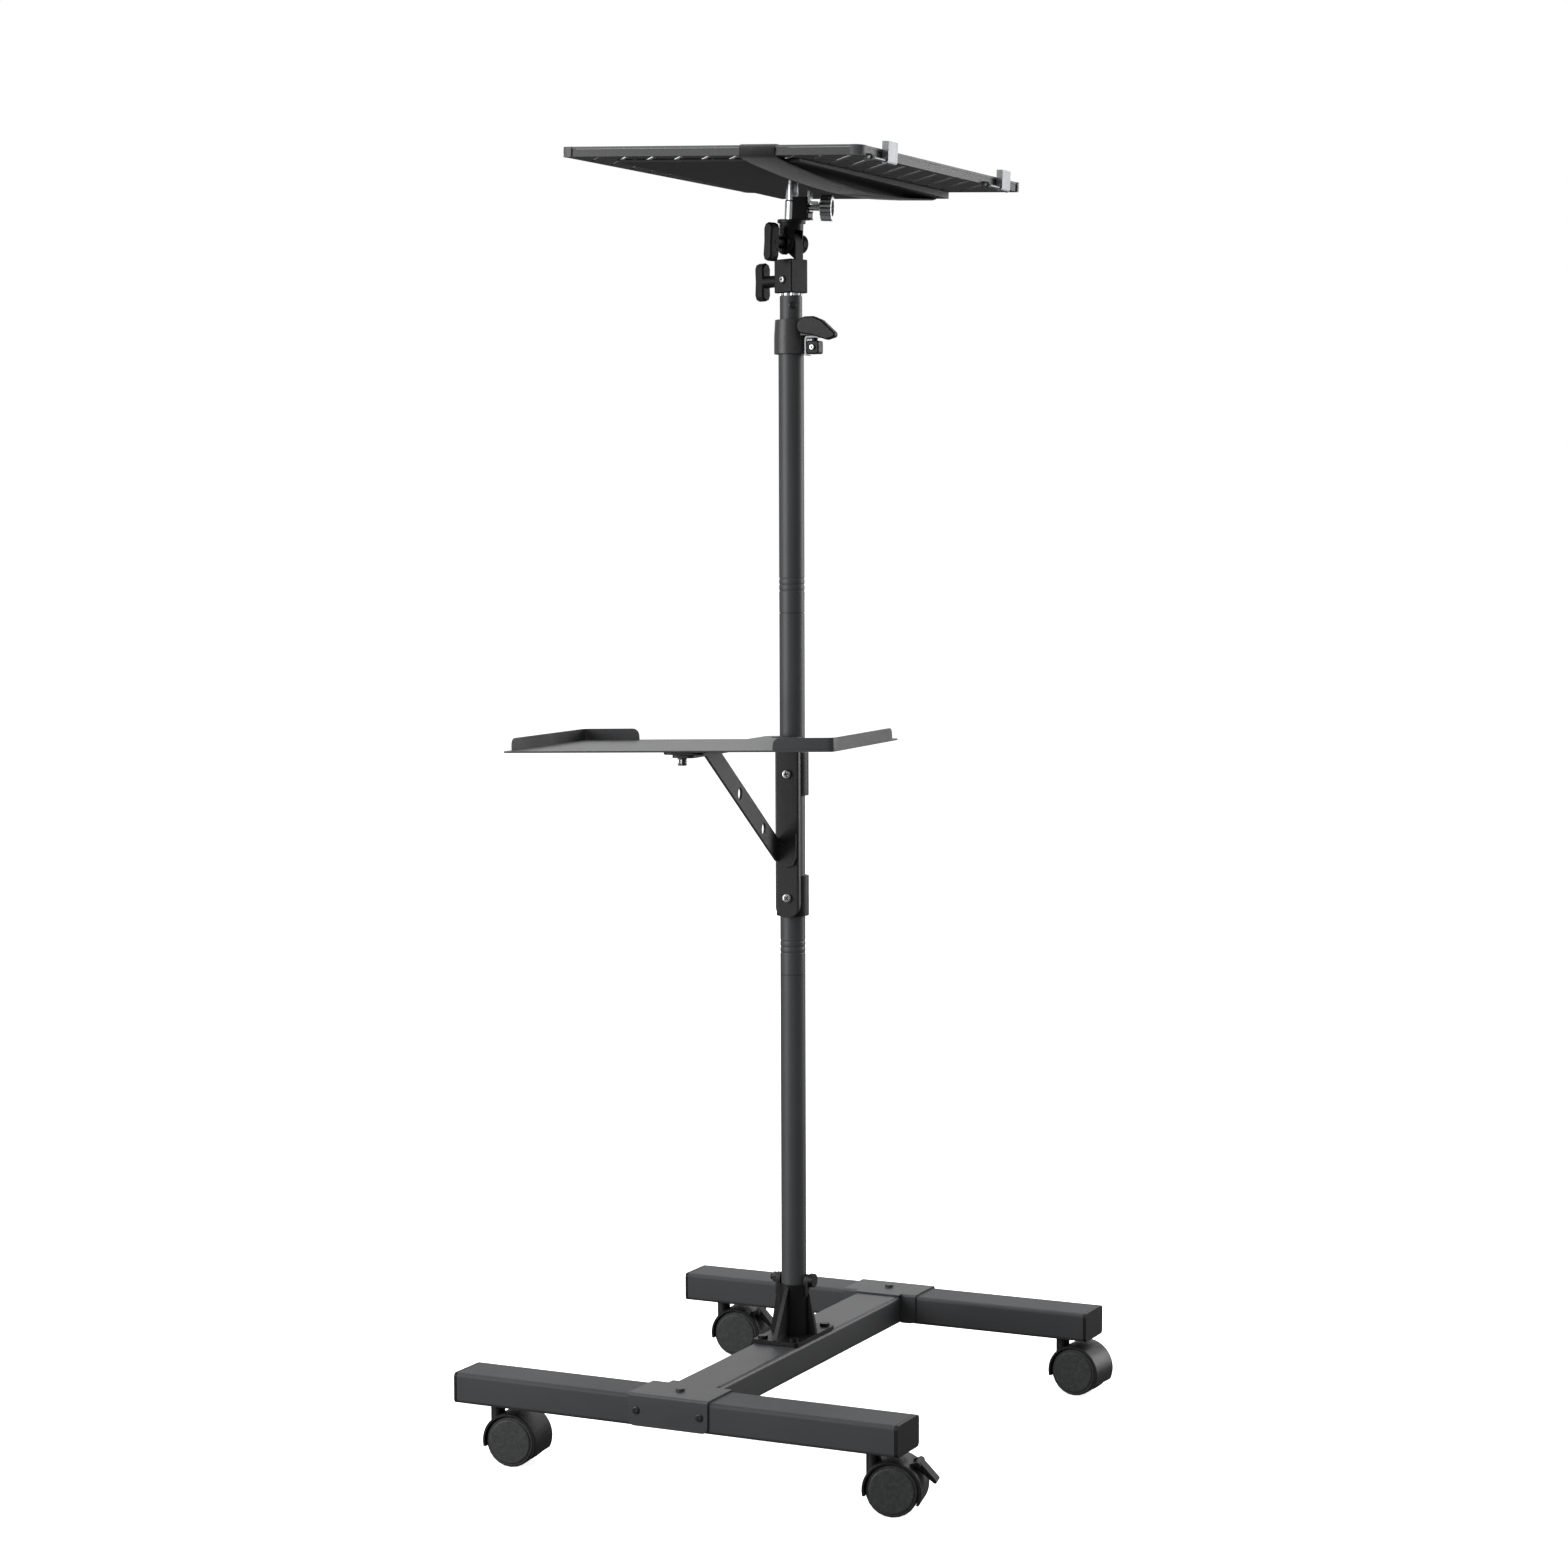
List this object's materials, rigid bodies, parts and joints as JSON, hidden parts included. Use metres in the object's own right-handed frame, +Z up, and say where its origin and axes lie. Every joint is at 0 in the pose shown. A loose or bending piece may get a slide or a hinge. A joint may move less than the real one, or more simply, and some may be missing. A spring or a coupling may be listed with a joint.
{
  "type": "audio visual cart",
  "caption": "Rolling equipment cart with an H-shaped base on casters, a telescoping column, a bracketed lower shelf and a slotted tray with a strap on a swivelling tilt head.",
  "frame": {"origin": "on the floor under the middle of the cart's outer box, with the tray tilted as pictured", "axes": "+Z up, +X along the cross bars towards the clamp lever, -Y towards the end that the shelf overhangs"},
  "size_m": [0.4958, 0.6054, 1.2736],
  "materials": {
    "powder_coat": "satin",
    "tube_coat": "satin",
    "black_plastic": "fine grain",
    "wheel_plastic": "smooth",
    "bright_steel": "bright plated",
    "rubber": "matt",
    "webbing": "woven"
  },
  "bodies": {
    "base": {"front_bar": "powder_coat", "rear_bar": "powder_coat", "spine_tube": "powder_coat", "front_saddle": "powder_coat", "rear_saddle": "powder_coat", "front_left_end_cap": "black_plastic", "front_right_end_cap": "black_plastic", "rear_left_end_cap": "black_plastic", "rear_right_end_cap": "black_plastic", "front_left_stem": "bright_steel", "front_right_stem": "bright_steel", "rear_left_stem": "bright_steel", "rear_right_stem": "bright_steel", "column_socket": "black_plastic", "socket_bolt": "black_plastic", "socket_nut": "bright_steel", "lower_tube": "tube_coat", "middle_tube": "tube_coat", "upper_tube": "tube_coat", "collar_clamp": "black_plastic", "clamp_plate": "bright_steel", "clamp_block": "black_plastic", "post_channel": "powder_coat", "upper_ring_clamp": "black_plastic", "lower_ring_clamp": "black_plastic", "shelf_arm": "powder_coat", "shelf_brace": "powder_coat", "shelf_tray": "powder_coat"},
    "front_left_caster": {"front_left_hood": "black_plastic"},
    "front_left_wheel_pair": {"front_left_wheels": "wheel_plastic"},
    "front_right_caster": {"front_right_hood": "black_plastic"},
    "front_right_wheel_pair": {"front_right_wheels": "wheel_plastic"},
    "front_right_pedal": {"front_right_brake_pedal": "black_plastic"},
    "rear_left_caster": {"rear_left_hood": "black_plastic"},
    "rear_left_wheel_pair": {"rear_left_wheels": "wheel_plastic"},
    "rear_left_pedal": {"rear_left_brake_pedal": "black_plastic"},
    "rear_right_caster": {"rear_right_hood": "black_plastic"},
    "rear_right_wheel_pair": {"rear_right_wheels": "wheel_plastic"},
    "clamp_lever": {"wing_lever": "black_plastic"},
    "mast": {"mast_tube": "tube_coat", "mast_stud": "bright_steel", "swivel_washer": "bright_steel"},
    "head": {"head_block": "black_plastic"},
    "head_lock": {"head_lock_knob": "black_plastic"},
    "tilt_head": {"tilt_yoke": "black_plastic", "pivot_bolt": "bright_steel", "post_jaw": "black_plastic", "knob_hook": "bright_steel", "jaw_nut": "bright_steel"},
    "tilt_lock": {"tilt_knob": "black_plastic"},
    "jaw_screw": {"fluted_knob": "bright_steel"},
    "tray": {"tray_post": "bright_steel", "tray_sheet": "powder_coat", "tray_edging": "rubber", "tray_pan": "powder_coat", "tray_nut": "bright_steel", "strap": "webbing"},
    "front_stop": {"front_edge_stop": "bright_steel"},
    "rear_stop": {"rear_edge_stop": "bright_steel"}
  },
  "joints": [
    {"name": "front_left_swivel", "type": "hinge", "parent": "base", "child": "front_left_caster", "pos_m": [-0.21289, -0.21285, 0.059], "axis": [0, 0, 1], "continuous": true},
    {"name": "front_left_roll", "type": "hinge", "parent": "front_left_caster", "child": "front_left_wheel_pair", "pos_m": [-0.1925, -0.21071, 0.025], "axis": [-0.1045, 0.9945, 0], "continuous": true},
    {"name": "front_right_swivel", "type": "hinge", "parent": "base", "child": "front_right_caster", "pos_m": [0.18711, -0.21285, 0.059], "axis": [0, 0, 1], "continuous": true},
    {"name": "front_right_roll", "type": "hinge", "parent": "front_right_caster", "child": "front_right_wheel_pair", "pos_m": [0.20712, -0.20841, 0.025], "axis": [-0.2164, 0.9763, 0], "continuous": true},
    {"name": "front_right_brake", "type": "hinge", "parent": "front_right_caster", "child": "front_right_pedal", "pos_m": [0.22876, -0.20362, 0.04795], "axis": [-0.2164, 0.9763, 0], "range_deg": [0, 15]},
    {"name": "rear_left_swivel", "type": "hinge", "parent": "base", "child": "rear_left_caster", "pos_m": [-0.21289, 0.27515, 0.059], "axis": [0, 0, 1], "continuous": true},
    {"name": "rear_left_roll", "type": "hinge", "parent": "rear_left_caster", "child": "rear_left_wheel_pair", "pos_m": [-0.19254, 0.27765, 0.025], "axis": [-0.1219, 0.9925, 0], "continuous": true},
    {"name": "rear_left_brake", "type": "hinge", "parent": "rear_left_caster", "child": "rear_left_pedal", "pos_m": [-0.17055, 0.28035, 0.04795], "axis": [-0.1219, 0.9925, 0], "range_deg": [0, 15]},
    {"name": "rear_right_swivel", "type": "hinge", "parent": "base", "child": "rear_right_caster", "pos_m": [0.18711, 0.27515, 0.059], "axis": [0, 0, 1], "continuous": true},
    {"name": "rear_right_roll", "type": "hinge", "parent": "rear_right_caster", "child": "rear_right_wheel_pair", "pos_m": [0.20756, 0.27372, 0.025], "axis": [0.0698, 0.9976, 0], "continuous": true},
    {"name": "clamp_lever_turn", "type": "hinge", "parent": "base", "child": "clamp_lever", "pos_m": [0.01011, 0.03665, 1.1045], "axis": [0, -1, 0], "range_deg": [0, 50]},
    {"name": "mast_slide", "type": "slide", "parent": "base", "child": "mast", "axis": [0, 0, 1], "range_m": [0, 0.18]},
    {"name": "head_swivel", "type": "hinge", "parent": "mast", "child": "head", "pos_m": [-0.01289, 0.03665, 1.187], "axis": [0, 0, 1], "continuous": true},
    {"name": "head_lock_turn", "type": "hinge", "parent": "head", "child": "head_lock", "pos_m": [-0.01289, 0.03665, 1.151], "axis": [-0.9426, 0.3338, 0], "continuous": true},
    {"name": "head_tilt", "type": "hinge", "parent": "head", "child": "tilt_head", "pos_m": [-0.01289, 0.03665, 1.187], "axis": [0.3338, 0.9426, 0], "range_deg": [-60, 60]},
    {"name": "tilt_lock_turn", "type": "hinge", "parent": "tilt_head", "child": "tilt_lock", "pos_m": [-0.01289, 0.03665, 1.187], "axis": [-0.3338, -0.9426, 0], "continuous": true},
    {"name": "jaw_screw_turn", "type": "hinge", "parent": "tilt_head", "child": "jaw_screw", "pos_m": [-0.01126, 0.03607, 1.22236], "axis": [0.965, 0.2591, -0.0403], "continuous": true},
    {"name": "tray_rotation", "type": "hinge", "parent": "tilt_head", "child": "tray", "pos_m": [-0.01289, 0.03665, 1.187], "axis": [0.046, -0.0163, 0.9988], "continuous": true},
    {"name": "front_stop_turn", "type": "hinge", "parent": "tray", "child": "front_stop", "pos_m": [0.15422, 0.04251, 1.24527], "axis": [-0.024, 0.9996, 0.0174], "range_deg": [0, 180]},
    {"name": "rear_stop_turn", "type": "hinge", "parent": "tray", "child": "rear_stop", "pos_m": [0.15422, 0.04251, 1.24527], "axis": [-0.024, 0.9996, 0.0174], "range_deg": [0, 180]}
  ]
}
